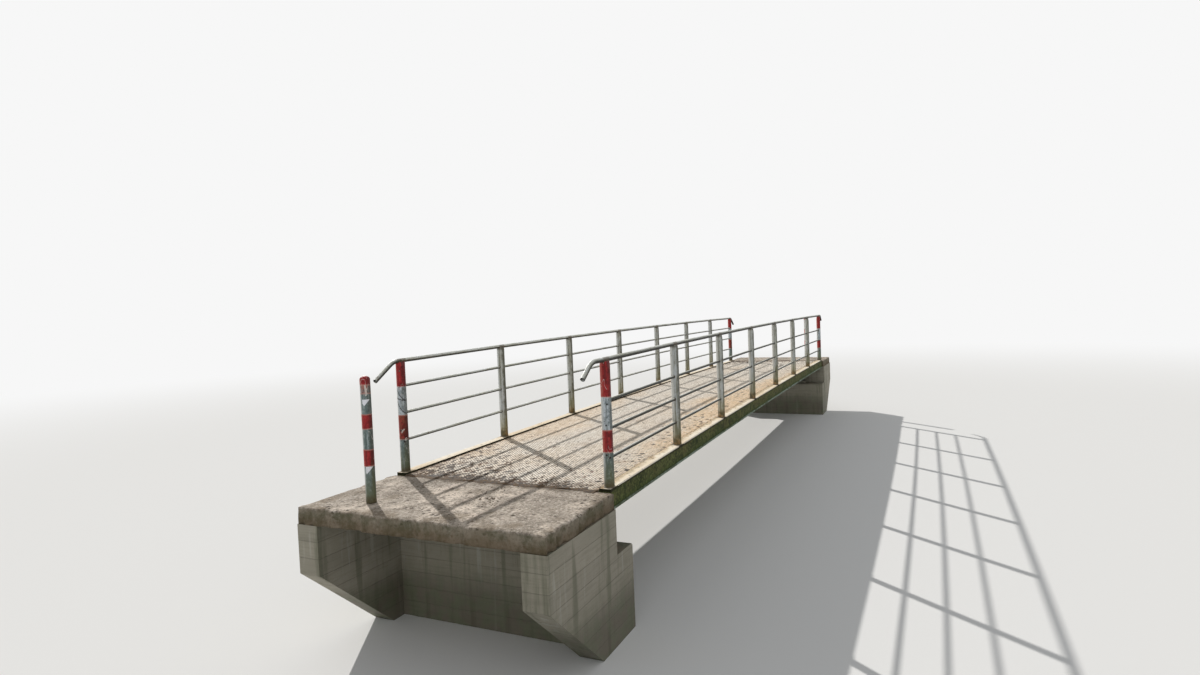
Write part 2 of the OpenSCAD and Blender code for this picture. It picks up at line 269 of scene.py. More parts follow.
def deck_finish():
    """Cream surface with a fine diamond grip and painted shade in its hollows, dust with a painted sun tint
    and soil towards the margins, litter at its ends.
    """
    f = Finish("deck_grip")
    pitch = 0.036
    u = f.calc("PINGPONG", f.calc("DIVIDE", f.plus(f.x, f.y), pitch), 0.5)
    v = f.calc("PINGPONG", f.calc("DIVIDE", f.minus(f.x, f.y), pitch), 0.5)
    stud = f.fit(f.calc("MINIMUM", u, v), 0.03, 0.15)
    dot = f.fall(f.larger(u, v), 0.15, 0.28)
    broad = f.noise(0.9, 4.0, 0.6, (0.55, 1, 1))
    mid = f.noise(6.0, 4.0, 0.6, shift=(3, 1, 0))
    fine = f.noise(140.0, 2.0, 0.6)
    off = f.size(f.y)
    c = f.blend(broad, 0.38, 0.64, rgb(244, 236, 222), rgb(240, 226, 206))
    c = f.above(c, mid, 0.54, 0.76, 0.30, rgb(212, 192, 166))
    # a film of tan dust with a painted warm sun tint, thickest along the sunny stretches of both margins
    far = f.size(f.minus(f.x, f.sided(-1.0, -3.6)))
    dust_and_sun_tint = f.push(f.plus(off, f.sided(0.34, 0.22)), far, -0.15)
    dust_and_sun_tint = f.fit(f.push(dust_and_sun_tint, f.noise(1.6, 5.0, 0.62, shift=(4, 8, 0)), 1.1), 0.98, 1.55)
    tan = f.mix(f.sided(), rgb(236, 198, 146), rgb(228, 198, 160))
    c = f.mix(f.times(dust_and_sun_tint, f.sided(0.72, 0.48)), c, tan)
    grain = f.noise(36.0, 3.0, 0.62, (0.28, 1, 1), (7, 2, 4))
    c = f.above(c, grain, 0.50, 0.62, 0.38, rgb(148, 128, 106))
    c = f.below(c, grain, 0.36, 0.47, 0.50, rgb(252, 246, 236))
    # Grooves and dots of the grip are darker: painted shade in its hollows, with dirt in them.
    shown = f.push(1.0, dust_and_sun_tint, -0.45)
    groove_shade_and_dirt = f.times(f.minus(1.0, stud), f.times(shown, f.fit(broad, 0.3, 0.7, 0.62, 0.44)))
    c = f.mix(groove_shade_and_dirt, c, rgb(136, 118, 98))
    c = f.mix(f.times(dot, shown), c, rgb(44, 34, 26))
    # thin soil in broad ragged patches, which let the grip show through
    patch = f.fit(f.noise(2.6, 6.0, 0.70, shift=(9, 4, 1)), 0.55, 0.66)
    c = f.coat(c, patch, 0.26, rgb(150, 122, 90))
    ragged = f.noise(9.0, 5.0, 0.68)
    edge = f.fit(f.push(off, ragged, 0.16), 1.055, 1.125)
    c = f.coat(c, edge, 0.70, f.blend(mid, 0.42, 0.58, rgb(150, 112, 66), rgb(78, 62, 42)))
    # Dark line at the margins' foot: soil in the seam, and painted shade in the crease.
    seam = f.fit(f.push(off, ragged, 0.06), 1.060, 1.074)
    c = f.coat(c, seam, 0.75, rgb(56, 44, 30))
    # leaves and crusted soil, measured by the distance away from the nearer end
    away = f.minus(DECK_END, f.size(f.x))
    crust = f.noise(5.0, 6.0, 0.72, shift=(5, 5, 5))
    ends = f.fall(f.push(away, crust, -1.5), -0.86, -0.52)
    c = f.coat(c, ends, 0.82, f.blend(fine, 0.4, 0.6, rgb(116, 94, 68), rgb(58, 46, 32)))
    spot = f.spots(13.0, 0.30, 0.26, (0.8, 1, 1))
    spot = f.larger(spot, f.spots(27.0, 0.30, 0.32, (1, 0.7, 1), (5, 2, 0)))
    flock = f.push(f.noise(1.1, shift=(6, 6, 6)), off, 0.16)
    spot = f.times(spot, f.fit(flock, 0.50, 0.58))
    c = f.coat(c, spot, 0.95, f.blend(mid, 0.48, 0.56, rgb(36, 28, 20), rgb(96, 54, 34)))
    strip = f.times(f.fall(f.y, -0.95, -0.25), f.fall(f.x, 0.4, 2.4))
    fleck = f.times(f.spots(14.0, 0.30, 0.45, (0.8, 1, 1), (3, 3, 0)), strip)
    c = f.coat(c, fleck, 0.96, rgb(38, 26, 16))
    mulch = f.noise(17.0, 4.0, 0.70, (0.7, 1, 1), (1, 4, 0))
    pull = f.fit(f.push(away, f.y, -0.9), -0.6, 2.4, 0.065, -0.12)
    pull = f.plus(pull, f.fit(away, 0.02, 0.30, 0.07, 0.0))
    leaves = f.fit(f.plus(mulch, pull), 0.560, 0.582)
    c = f.coat(c, leaves, 0.94, f.blend(mid, 0.44, 0.60, rgb(34, 22, 10), rgb(84, 58, 32)))
    litter = f.times(f.spots(20.0, 0.50, 0.34, (0.7, 1, 1), (2, 7, 0)), f.fall(away, 0.3, 2.4))
    c = f.coat(c, litter, 0.92, rgb(44, 34, 24))
    side = f.fall(f.nz, 0.4, 0.8)
    c = f.mix(side, c, f.blend(mid, 0.35, 0.7, rgb(126, 120, 106), rgb(92, 88, 74)))
    height = f.push(f.times(stud, 0.8), fine, 0.25)
    height = f.push(height, dot, -0.4)
    normal = f.bump(height, 0.0022, 0.85)
    normal = f.bump(mid, 0.004, 0.35, normal)
    return f.done(c, f.fit(mid, 0.3, 0.8, 0.80, 0.94), normal, 0.3)


def edge_finish():
    """Cream margin with soil inside and round the posts, a painted highlight along its outer rim, mossy
    side with a painted shadow under the rim, paler lip along its foot.
    """
    f = Finish("edge_beam_mossy")
    rise = f.above_margin()
    broad = f.noise(1.3, 4.0, 0.6, shift=(7, 0, 2))
    mid = f.noise(7.0, 5.0, 0.66)
    blotch = f.noise(4.2, 6.0, 0.70, (0.6, 1, 1.5), (0, 3, 8))
    fine = f.noise(48.0, 4.0, 0.68)
    streak = f.noise(13.0, 5.0, 0.66, (1, 1, 0.22), distort=0.6)
    top = f.blend(broad, 0.40, 0.62, rgb(242, 233, 214), rgb(234, 216, 188))
    top = f.above(top, mid, 0.56, 0.75, 0.50, rgb(196, 174, 134))
    off = f.size(f.y)
    soiled = f.fall(f.push(off, f.noise(5.5, 6.0, 0.74, shift=(1, 5, 2)), -0.22), 0.950, 1.000)
    soiled = f.times(soiled, f.sided(1.0, 0.45))
    top = f.coat(top, soiled, 0.60, f.blend(broad, 0.44, 0.56, rgb(196, 162, 110), rgb(166, 148, 108)))
    top = f.mix(f.times(soiled, f.fit(fine, 0.54, 0.62, 0.0, 0.85)), top, rgb(70, 54, 34))
    seam = f.fall(f.push(off, mid, -0.030), 1.026, 1.038)
    dirt = f.blend(fine, 0.4, 0.6, rgb(112, 84, 48), rgb(58, 52, 30))
    top = f.mix(f.times(seam, f.sided(0.60, 0.30)), top, dirt)
    top = f.coat(top, f.spots(15.0, 0.20, 0.26), 0.80, DARK_SOIL)
    # Paler band along the outer rim: wear, and a painted highlight on the edge.
    rim = f.fit(off, 1.140, 1.157)
    top = f.coat(top, rim, 0.45, rgb(248, 243, 230))
    ring = f.fall(f.push(f.past_post(), mid, 0.09), 0.075, 0.130)
    top = f.coat(top, ring, 0.72, f.blend(mid, 0.4, 0.6, rgb(126, 96, 54), rgb(76, 68, 40)))
    side = f.blend(blotch, 0.38, 0.60, rgb(48, 56, 26), rgb(82, 86, 50))
    side = f.above(side, broad, 0.46, 0.60, 0.45, rgb(106, 94, 62))
    side = f.above(side, mid, 0.50, 0.64, 0.70, rgb(40, 46, 24))
    side = f.above(side, streak, 0.54, 0.66, 0.70, rgb(26, 30, 16))
    side = f.below(side, streak, 0.30, 0.42, 0.45, rgb(128, 126, 90))
    side = f.above(side, fine, 0.50, 0.60, 0.65, rgb(112, 120, 74))
    side = f.below(side, fine, 0.38, 0.48, 0.65, rgb(28, 34, 16))
    # Painted shadow just under the margin's overhanging top edge.
    shadow_under_rim = f.fit(f.push(rise, blotch, 0.050), -0.006, 0.010)
    side = f.coat(side, shadow_under_rim, 0.85, rgb(32, 30, 20))
    low = f.fall(f.push(rise, mid, 0.07), -0.13, -0.06)
    side = f.coat(side, low, 0.45, rgb(56, 76, 34))
    lip = f.blend(mid, 0.35, 0.7, rgb(138, 150, 138), rgb(98, 112, 88))
    lip = f.above(lip, blotch, 0.50, 0.62, 0.80, rgb(64, 72, 46))
    side = f.mix(f.fall(rise, -0.160, -0.157), side, lip)
    up = f.fit(f.nz, 0.35, 0.65)
    in_lip = f.fall(rise, -0.15, -0.13)
    c = f.mix(f.times(up, f.minus(1.0, in_lip)), side, top)
    height = f.push(f.times(mid, 0.7), fine, 0.5)
    return f.done(c, f.fit(fine, 0.3, 0.7, 0.78, 0.96), f.bump(height, 0.004, 0.8), 0.15)


def painted_sun_highlight(f, low, high, most, mid):
    """How far a post is painted lighter on its side toward the key light, a painted highlight: most on its
    near left side.
    """
    sun = f.push(f.times(f.ny, 0.87), f.nx, -0.50)
    return f.fit(f.push(sun, f.minus(mid, 0.5), 0.3), low, high, 0.0, most)


def shaded_side(f, most, mid):
    """How far painted shade darkens a post: most on its far right side, away from the key light."""
    away = f.push(f.times(f.nx, 0.42), f.ny, -0.90)
    return f.fit(f.push(away, f.minus(mid, 0.5), 0.9), 0.18, 0.80, 0.0, most)


def post_finish():
    """Grey posts: painted highlight on the side toward the key light, painted shade on the far side,
    streaked, with algae and rust that rise from their feet.
    """
    f = Finish("post_grey")
    rise = f.above_margin()
    broad, mid, fine = f.noise(2.2, 4.0, 0.6), f.noise(16.0, 5.0, 0.64), f.noise(150.0, 3.0, 0.6)
    streak = f.noise(44.0, 4.0, 0.6, (1, 1, 0.05))
    c = f.blend(broad, 0.38, 0.64, rgb(186, 190, 190), rgb(170, 172, 162))
    c = f.above(c, mid, 0.48, 0.66, 0.60, rgb(140, 138, 122))
    c = f.above(c, streak, 0.50, 0.60, 0.70, rgb(112, 110, 90))
    c = f.below(c, streak, 0.32, 0.44, 0.60, rgb(208, 211, 207))
    # Painted shade on the side away from the key light.
    c = f.mix(shaded_side(f, 0.85, mid), c, rgb(72, 70, 54))
    # Painted highlight: paler paint on the side toward the key light.
    c = f.mix(painted_sun_highlight(f, 0.42, 0.84, 0.95, mid), c, rgb(226, 228, 224))
    c = f.above(c, fine, 0.60, 0.68, 0.55, rgb(84, 80, 64))
    foot = f.fall(f.push(rise, streak, -0.60), -0.26, 0.14)
    c = f.coat(c, foot, 0.62, f.blend(streak, 0.44, 0.56, rgb(168, 158, 104), rgb(104, 100, 52)))
    low = f.fall(f.push(rise, mid, -0.26), -0.10, 0.02)
    c = f.coat(c, low, 0.80, f.blend(mid, 0.4, 0.6, rgb(136, 98, 44), rgb(74, 64, 32)))
    # Painted shade: darkest in the last centimetre above the margin, where the post meets it.
    c = f.below(c, rise, 0.004, 0.012, 0.85, rgb(40, 32, 22))
    # Painted shade in a band just under where the handrail sits on the post top.
    joint = f.size(f.minus(rise, HAND_Z - HAND_R - 0.004))
    c = f.below(c, f.push(joint, mid, 0.02), 0.012, 0.034, 0.65, rgb(74, 66, 50))
    chip = f.spots(38.0, 0.16, 0.24, shift=(4, 4, 4))
    c = f.mix(chip, c, f.blend(fine, 0.4, 0.6, rgb(64, 58, 48), RUST))
    return f.done_paint(c, mid, fine, chip)


def railing_finish(name, low, high):
    """Grey tubes: painted highlight on top, stained at the posts, near black with painted shade where they
    face down.

    The painted shade ends where the upward part of the surface's direction goes from low to high.
    """
    f = Finish(name)
    broad, mid, fine = f.noise(2.2, 4.0, 0.6), f.noise(16.0, 5.0, 0.64), f.noise(150.0, 3.0, 0.6)
    along = f.noise(30.0, 4.0, 0.6, (0.12, 1, 1))
    c = f.blend(broad, 0.38, 0.64, rgb(150, 152, 144), rgb(136, 136, 122))
    c = f.above(c, along, 0.46, 0.64, 0.55, rgb(112, 112, 96))
    # Painted highlight on the tops and painted shade, near black, underneath, by how far each bit faces up.
    turn = f.push(f.nz, f.minus(mid, 0.5), 0.40)
    pale = f.blend(along, 0.4, 0.62, rgb(238, 240, 236), rgb(206, 206, 192))
    c = f.above(c, turn, high - 0.06, high + 0.28, 0.90, pale)
    c = f.below(c, turn, low, high, 0.96, rgb(26, 24, 18))
    weld = f.fall(f.push(f.past_post(), mid, 0.05), 0.068, 0.100)
    c = f.coat(c, weld, 0.62, rgb(86, 68, 44))
    c = f.above(c, fine, 0.60, 0.68, 0.45, rgb(92, 88, 70))
    chip = f.spots(34.0, 0.14, 0.24, (0.6, 1, 1), (4, 4, 4))
    c = f.mix(chip, c, f.blend(fine, 0.4, 0.6, rgb(70, 62, 50), RUST))
    return f.done_paint(c, mid, fine, chip)


def banded_finish(name, base, bands, wear=0.5, centre=None, patches=(), marks=()):
    """Scratched and dirty red and white bands over grey, with a painted highlight toward the key light and
    painted shade on the far side.

    Each band is (its top above base, colour). Each patch is a pale triangle on a round post about
    centre: (its low end, its high end, angle of its tip, angle of its top's middle, half its width).
    Each mark is a stroke of dark paint: (its height, its slant).
    """
    f = Finish(name)
    mid = f.noise(18.0, 5.0, 0.62)
    fine = f.noise(130.0, 3.0, 0.6)
    streak = f.noise(34.0, 4.0, 0.6, (1, 1, 0.08))
    rise = f.minus(f.z, base)
    wavy = f.push(rise, f.minus(mid, 0.5), 0.014)
    tall = 1.2
    stops = []
    low = 0.0
    for top, colour in reversed(bands):
        stops.append((low / tall, colour))
        low = top
    share = f.calc("DIVIDE", wavy, tall)
    c = f.steps(share, stops)
    reds = [(place, FULL if colour in (RED, BROWN_RED) else NONE) for place, colour in stops]
    is_red = f.steps(share, reds)
    c = f.above(c, mid, 0.46, 0.62, 0.65, f.mix(is_red, rgb(118, 130, 134), rgb(104, 22, 24)))
    c = f.above(c, streak, 0.50, 0.60, 0.62, f.mix(is_red, rgb(84, 92, 86), rgb(84, 26, 24)))
    c = f.below(c, streak, 0.34, 0.44, 0.50, f.mix(is_red, rgb(214, 222, 226), rgb(180, 66, 62)))
    mottle = f.noise(46.0, 5.0, 0.70, (1, 1, 0.7), (6, 1, 2))
    c = f.above(c, mottle, 0.52, 0.62, 0.58, f.mix(is_red, rgb(72, 88, 88), rgb(116, 24, 28)))
    c = f.below(c, mottle, 0.37, 0.47, 0.55, f.mix(is_red, rgb(176, 186, 184), rgb(190, 64, 62)))
    # Painted shade on the side away from the key light.
    c = f.mix(shaded_side(f, 0.62, mid), c, f.mix(is_red, rgb(72, 76, 66), rgb(62, 22, 20)))
    # Painted highlight: paler paint on the side toward the key light.
    lit_tint = f.mix(is_red, rgb(224, 227, 224), rgb(204, 104, 92))
    c = f.mix(painted_sun_highlight(f, 0.50, 0.92, 0.80, mid), c, lit_tint)
    for place, _ in stops[1:]:
        border = f.size(f.minus(wavy, place * tall))
        c = f.below(c, border, 0.003, 0.007, 0.55, rgb(196, 138, 126))
    if patches:
        angle = f.calc("ARCTAN2", f.minus(f.y, centre[1]), f.minus(f.x, centre[0]))
    for low_z, high_z, tip, middle, half in patches:
        share = f.calc("DIVIDE", f.minus(rise, low_z), high_z - low_z)
        lean = f.plus(tip, f.times(share, middle - tip))
        away = f.size(f.minus(angle, lean))
        reach = f.times(share, half)
        inside = f.fit(f.minus(reach, away), 0.0, 0.05)
        inside = f.times(inside, f.fall(rise, high_z - 0.002, high_z))
        c = f.coat(c, inside, 0.94, rgb(236, 238, 244))
    peel = f.push(f.noise(26.0, 5.0, 0.68, shift=(2, 9, 1)), fine, 0.12)
    bare = f.fit(peel, 0.80 - 0.18 * wear, 0.83 - 0.18 * wear)
    c = f.mix(bare, c, f.blend(fine, 0.40, 0.60, rgb(146, 148, 138), rgb(90, 78, 62)))
    nick = f.spots(42.0, 0.10, 0.20, shift=(1, 6, 3))
    nick = f.larger(nick, f.spots(24.0, 0.07, 0.16, (1, 1, 0.6), (8, 4, 4)))
    c = f.coat(c, nick, 0.85, rgb(52, 46, 42))
    line = f.size(f.minus(f.noise(13.0, 1.0, 0.5, (1, 1, 0.45), (3, 5, 0), 0.8), 0.5))
    scratch = f.times(f.fall(line, 0.004, 0.010), f.fit(f.noise(7.0, 2.0, shift=(1, 1, 7)), 0.54, 0.58))
    c = f.coat(c, scratch, 0.75, rgb(216, 208, 200))
    foot = f.fall(f.push(rise, streak, -0.50), -0.22, 0.08)
    c = f.coat(c, foot, 0.60, rgb(104, 108, 68))
    low = f.fall(f.push(rise, mid, -0.12), -0.05, 0.03)
    c = f.coat(c, low, 0.75, rgb(84, 70, 42))
    for height_above, across in marks:
        slant = f.plus(rise, f.times(f.y, across))
        slant = f.push(slant, f.minus(mid, 0.5), 0.016)
        stroke = f.fall(f.size(f.minus(slant, height_above)), 0.006, 0.011)
        c = f.mix(f.times(stroke, f.fit(fine, 0.36, 0.46, 0.0, 0.85)), c, rgb(46, 44, 42))
    height = f.minus(f.times(fine, 0.3), f.push(bare, nick, 0.8))
    return f.done(c, f.fit(mid, 0.35, 0.7, 0.50, 0.72), f.bump(height, 0.0006, 0.7), 0.3)


def slab_finish():
    """Worn sandy concrete with exposed stones, soiled in patches, at its rims and at the joint."""
    f = Finish("approach_concrete")
    broad = f.noise(1.6, 5.0, 0.6, shift=(1, 3, 0))
    mid = f.noise(8.0, 5.0, 0.65)
    fine = f.noise(110.0, 3.0, 0.6)
    tone = f.add("ShaderNodeSeparateColor", f.cells(85.0, output="Color"))
    gap = f.fit(f.cells(85.0, "DISTANCE_TO_EDGE"), 0.02, 0.10)
    c = f.blend(broad, 0.40, 0.60, rgb(208, 194, 178), rgb(160, 149, 136))
    c = f.above(c, mid, 0.46, 0.60, 0.75, rgb(120, 107, 92))
    rough = f.noise(34.0, 4.0, 0.70, shift=(3, 3, 3))
    c = f.above(c, rough, 0.52, 0.60, 0.65, rgb(86, 74, 60))
    c = f.below(c, rough, 0.36, 0.46, 0.60, rgb(230, 220, 206))
    showing = f.times(gap, f.fit(mid, 0.40, 0.55, 0.0, 0.38))
    c = f.mix(showing, c, f.mix(tone.outputs[0], rgb(118, 112, 104), rgb(214, 204, 190)))
    c = f.above(c, fine, 0.52, 0.75, 0.35, rgb(206, 198, 184))
    rim = f.larger(f.fit(f.size(f.y), 0.95, 1.20), f.fit(f.size(f.x), 7.30, 7.56))
    soil = f.fit(f.push(f.noise(3.4, 6.0, 0.68, shift=(2, 2, 2)), rim, 0.10), 0.52, 0.70)
    c = f.coat(c, soil, 0.50, f.blend(fine, 0.4, 0.62, rgb(138, 120, 94), rgb(102, 88, 66)))
    away = f.minus(f.size(f.x), SLAB_START)
    joint = f.fall(f.push(away, f.noise(5.0, 5.0, 0.66, shift=(5, 5, 5)), -0.40), -0.20, -0.06)
    c = f.coat(c, joint, 0.80, f.blend(fine, 0.4, 0.6, rgb(104, 86, 60), DARK_SOIL))
    spot = f.larger(f.spots(11.0, 0.22, 0.26), f.spots(24.0, 0.26, 0.30, (1, 0.7, 1), (5, 2, 0)))
    c = f.coat(c, spot, 0.88, rgb(58, 46, 34))
    side = f.fall(f.nz, 0.3, 0.7)
    low = f.fall(f.push(f.z, mid, 0.05), 1.20, 1.29)
    c = f.coat(c, side, 0.75, f.blend(mid, 0.4, 0.6, rgb(116, 108, 92), rgb(84, 84, 62)))
    c = f.coat(c, f.times(side, low), 0.5, rgb(92, 74, 52))
    height = f.push(f.push(mid, rough, -0.5), f.plus(fine, showing), 0.35)
    return f.done(c, f.fit(mid, 0.3, 0.7, 0.84, 0.96), f.bump(height, 0.010, 0.9), 0.25)


def wall_finish():
    """Cast concrete with board marks, damp and green towards its foot."""
    f = Finish("abutment_concrete")
    broad = f.noise(1.1, 5.0, 0.6)
    mid = f.noise(6.5, 5.0, 0.62)
    fine = f.noise(80.0, 3.0, 0.6)
    run = f.noise(9.0, 4.0, 0.6, (1, 1, 0.08))
    board = 0.145
    row = f.calc("DIVIDE", f.z, board)
    line = f.fall(f.calc("PINGPONG", row, 0.5), 0.0, 0.035)
    plank = f.calc("FRACT", f.times(f.calc("FLOOR", row), 0.377))
    grain = f.noise(26.0, 4.0, 0.6, (0.12, 0.12, 1.6))
    c = f.blend(broad, 0.36, 0.66, rgb(158, 152, 138), rgb(142, 138, 122))
    c = f.coat(c, plank, 0.30, rgb(124, 120, 108))
    c = f.above(c, grain, 0.46, 0.70, 0.40, rgb(120, 116, 102))
    c = f.coat(c, line, 0.45, rgb(88, 84, 72))
    c = f.above(c, run, 0.50, 0.66, 0.55, rgb(88, 90, 70))
    c = f.below(c, run, 0.30, 0.40, 0.35, rgb(190, 188, 178))
    hole = f.fall(f.cells(55.0, shift=(2, 2, 2)), 0.10, 0.16)
    hole = f.times(hole, f.fit(fine, 0.50, 0.54))
    c = f.coat(c, hole, 0.6, rgb(70, 66, 58))
    damp = f.fall(f.push(f.z, run, 0.45), 0.45, 0.85)
    c = f.coat(c, damp, 0.68, f.blend(mid, 0.42, 0.6, rgb(66, 74, 44), rgb(74, 66, 50)))
    flat = f.fit(f.nz, 0.5, 0.9)
    c = f.coat(c, flat, 0.55, f.blend(mid, 0.42, 0.6, SOIL, DEEP_MOSS))
    height = f.push(f.times(grain, 0.5), mid, 0.5)
    height = f.minus(height, f.plus(f.times(line, 0.8), hole))
    return f.done(c, f.fit(damp, 0.0, 1.0, 0.88, 0.66), f.bump(height, 0.004, 0.75))


def girder_finish():
    """Dark protective paint with rust in patches, most of it under the deck's ends."""
    f = Finish("girder_paint")
    mid = f.noise(7.0, 5.0, 0.62)
    fine = f.noise(90.0, 3.0, 0.6)
    run = f.noise(16.0, 4.0, 0.6, (1, 1, 0.08))
    c = f.blend(mid, 0.38, 0.66, rgb(82, 88, 84), rgb(98, 102, 96))
    c = f.above(c, run, 0.52, 0.68, 0.6, rgb(72, 62, 46))
    rust = f.fit(f.push(mid, fine, 0.30), 0.72, 0.80)
    rust = f.larger(rust, f.times(f.fit(f.size(f.x), 5.9, 6.4), f.fit(mid, 0.44, 0.56)))
    c = f.mix(rust, c, f.blend(fine, 0.35, 0.65, rgb(134, 76, 40), rgb(84, 48, 30)))
    height = f.push(f.times(rust, 0.8), fine, 0.4)
    return f.done(c, f.fit(rust, 0.0, 1.0, 0.52, 0.88), f.bump(height, 0.0012, 0.7))


def plain_finish(name, one, two, scale, rough, height=0.001):
    """Two mottled colours with grain, for small parts."""
    f = Finish(name)
    mid = f.noise(scale, 5.0, 0.62)
    fine = f.noise(scale * 9, 3.0, 0.6)
    c = f.blend(mid, 0.36, 0.66, one, two)
    c = f.above(c, fine, 0.5, 0.8, 0.4, f.mix(0.5, one, NONE))
    return f.done(c, f.fit(mid, 0.3, 0.7, rough - 0.08, rough + 0.08), f.bump(fine, height, 0.7))


DECK_MAT, EDGE_MAT, POST_MAT = deck_finish(), edge_finish(), post_finish()
# Copies of one grey paint that differ only in where painted highlight and painted shade begin; the left
# rows' copy is mostly painted lit.
RAIL_MAT, HAND_MAT = railing_finish("rail_grey", 0.34, 0.74), railing_finish("handrail_grey", 0.02, 0.46)
LIT_RAIL_MAT = railing_finish("rail_pale_grey", -0.40, 0.10)
SLAB_MAT, WALL_MAT, GIRDER_MAT = slab_finish(), wall_finish(), girder_finish()
RUBBER_MAT = plain_finish("bearing_rubber", rgb(40, 40, 42), rgb(70, 68, 62), 30.0, 0.8)
FIXING_MAT = plain_finish("fixing_rusty", rgb(96, 84, 72), rgb(122, 76, 44), 60.0, 0.7, 0.0004)
HOLE_MAT = plain_finish("fixing_dark", rgb(26, 24, 26), rgb(50, 40, 34), 80.0, 0.7, 0.0004)
GRIT_MAT = plain_finish("grit_soil", rgb(50, 38, 24), rgb(100, 78, 52), 34.0, 0.95, 0.002)

# each end post's bands from the top, its wear and the strokes of dark paint across it
BANDS = {
    "post_right_1": ([(1.09, RED), (0.782, WHITE), (0.494, RED), (0.305, GREY)], 0.30, ()),
    "post_left_1": ([(1.09, RED), (0.845, WHITE), (0.559, BROWN_RED), (0.323, GREY)], 0.60,
                    ((-1.107, -1.58), (0.256, -0.42), (-0.991, -1.59))),
    "post_right_8": ([(1.09, RED), (0.790, WHITE), (0.505, RED), (0.310, GREY)], 0.55, ()),
    "post_left_8": ([(1.09, RED), (0.835, WHITE), (0.550, BROWN_RED), (0.315, GREY)], 0.60, ()),
}
BOLLARD_BANDS = [(1.08, RED), (0.995, PINK), (0.924, GREY), (0.748, RED), (0.627, GREY),
                 (0.451, RED), (0.314, GREY)]


def bollard_finish(end):
    """Paint of the bollard at that end, with a pale triangle high and low on the side to the path."""
    key = "bollard_paint_near" if end < 0 else "bollard_paint_far"
    if key not in bpy.data.materials:
        centre = (end * BOLLARD_X, -end * BOLLARD_Y)
        toward = -2.39 if end < 0 else 0.6
        triangles = ((0.818, 0.876, toward - 0.40, toward - 0.24, 1.04),
                     (0.246, 0.311, toward - 0.60, toward - 0.26, 1.06))
        banded_finish(key, DECK, BOLLARD_BANDS, 0.5, centre, triangles)
    return bpy.data.materials[key]


FINISHES = {
    "deck_slab": DECK_MAT, "edge_beam": EDGE_MAT, "girder": GIRDER_MAT, "cross_beams": GIRDER_MAT,
    "bearings": RUBBER_MAT, "abutment": WALL_MAT, "wing_wall": WALL_MAT, "approach_slab": SLAB_MAT,
    "post": POST_MAT, "rail_left": LIT_RAIL_MAT, "rail_right": RAIL_MAT,
    "handrail_left": LIT_RAIL_MAT, "handrail_right": HAND_MAT, "handrail_ends": HAND_MAT,
}

for name in nodes:
    if name in BANDS:
        bands, wear, strokes = BANDS[name]
        finish = banded_finish(name + "_paint", MARGIN, bands, wear, marks=strokes)
    elif name.startswith("bollard"):
        finish = bollard_finish(-1 if "near" in name else 1)
    else:
        finish = next(FINISHES[start] for start in FINISHES if name.startswith(start))
    nodes[name].data.materials.clear()
    nodes[name].data.materials.append(finish)


# pieces built in mesh code

def placed(name, data):
    """A new object in the scene that shows that data."""
    o = bpy.data.objects.new(name, data)
    bpy.context.scene.collection.objects.link(o)
    return o


def riding(name, mesh, material):
    """A mesh in the shared frame that rides with the bridge."""
    mesh.materials.append(material)
    o = placed(name, mesh)
    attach(o, "root")
    return o


def piece(name, verts, faces, material):
    """A smooth mesh from lists of points and faces."""
    mesh = bpy.data.meshes.new(name)
    mesh.from_pydata(verts, [], faces)
    mesh.validate()
    for polygon in mesh.polygons:
        polygon.use_smooth = True
    return riding(name, mesh, material)


def from_bmesh(name, bm, material):
    """A flat-faced mesh from a finished bmesh."""
    mesh = bpy.data.meshes.new(name)
    bm.to_mesh(mesh)
    bm.free()
    riding(name, mesh, material)


def turns(count):
    """Angles of that many even steps round a circle."""
    return [math.tau * k / count for k in range(count)]


def spoke(flat, up, angle):
    """Unit vector at that angle between the directions flat and up."""
    return flat * math.cos(angle) + up * math.sin(angle)


def fractal(point, octaves, step=2.0):
    """Layered noise of about -1 to 1, each layer finer than the last by step."""
    return noise.fractal(point, 1.0, step, octaves)


def bead(verts, faces, path, radius, rough, seed, sides=6):
    """A closed bead of weld along a loop of points, a little uneven."""
    count = len(path)
    start = len(verts)
    for i in range(count):
        here = path[i]
        along = (path[(i + 1) % count] - path[i - 1]).normalized()
        flat = along.orthogonal().normalized()
        up = along.cross(flat)
        size = radius * (1 + rough * noise.noise(here * 90 + Vector((seed, 0, 0))))
        verts += [here + spoke(flat, up, a) * size for a in turns(sides)]
    for i in range(count):
        j = (i + 1) % count
        # the frame may turn between two rings, so each ring joins to the nearest corner of the next
        first = verts[start + i * sides]
        shift = min(range(sides), key=lambda k: (verts[start + j * sides + k] - first).length)
        for k in range(sides):
            a = start + i * sides + k
            b = start + i * sides + (k + 1) % sides
            c = start + j * sides + (k + 1 + shift) % sides
            d = start + j * sides + (k + shift) % sides
            faces.append((a, b, c, d))


